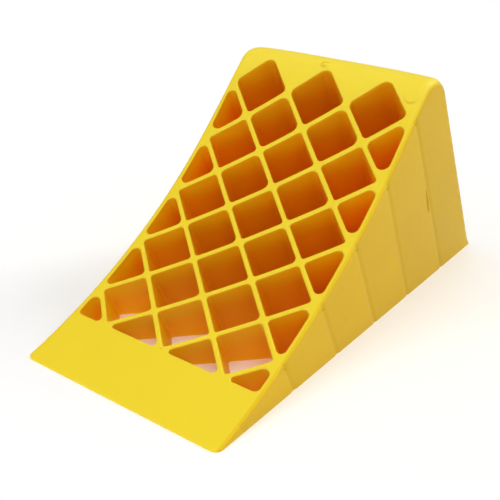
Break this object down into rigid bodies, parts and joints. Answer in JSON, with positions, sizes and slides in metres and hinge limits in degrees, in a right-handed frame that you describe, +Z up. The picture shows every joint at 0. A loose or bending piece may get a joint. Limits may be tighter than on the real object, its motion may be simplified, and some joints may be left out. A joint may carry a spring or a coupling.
{
  "type": "wheel chock",
  "caption": "Plastic wheel chock: a wedge with a concave ramp of crossing diamond webs between two side walls, a closed nose, a rounded crest and a leaning rear wall.",
  "frame": {"origin": "on the ground, in the middle of the chock's width and length", "axes": "+Y runs from the nose to the heel, +X is to the right seen from the nose, +Z is up"},
  "size_m": [0.2, 0.47, 0.215],
  "materials": {
    "yellow_plastic": "satin moulded plastic, even yellow, with soft highlights along rounded edges"
  },
  "bodies": {
    "root": {"nose_plate": "yellow_plastic", "crest_bridge": "yellow_plastic", "rear_wall": "yellow_plastic", "left_side_wall": "yellow_plastic", "right_side_wall": "yellow_plastic", "right_rising_web_1": "yellow_plastic", "right_rising_web_2": "yellow_plastic", "right_rising_web_3": "yellow_plastic", "right_rising_web_4": "yellow_plastic", "right_rising_web_5": "yellow_plastic", "right_rising_web_6": "yellow_plastic", "right_rising_web_7": "yellow_plastic", "right_rising_web_8": "yellow_plastic", "left_rising_web_1": "yellow_plastic", "left_rising_web_2": "yellow_plastic", "left_rising_web_3": "yellow_plastic", "left_rising_web_4": "yellow_plastic", "left_rising_web_5": "yellow_plastic", "left_rising_web_6": "yellow_plastic", "left_rising_web_7": "yellow_plastic", "left_rising_web_8": "yellow_plastic"}
  },
  "joints": []
}
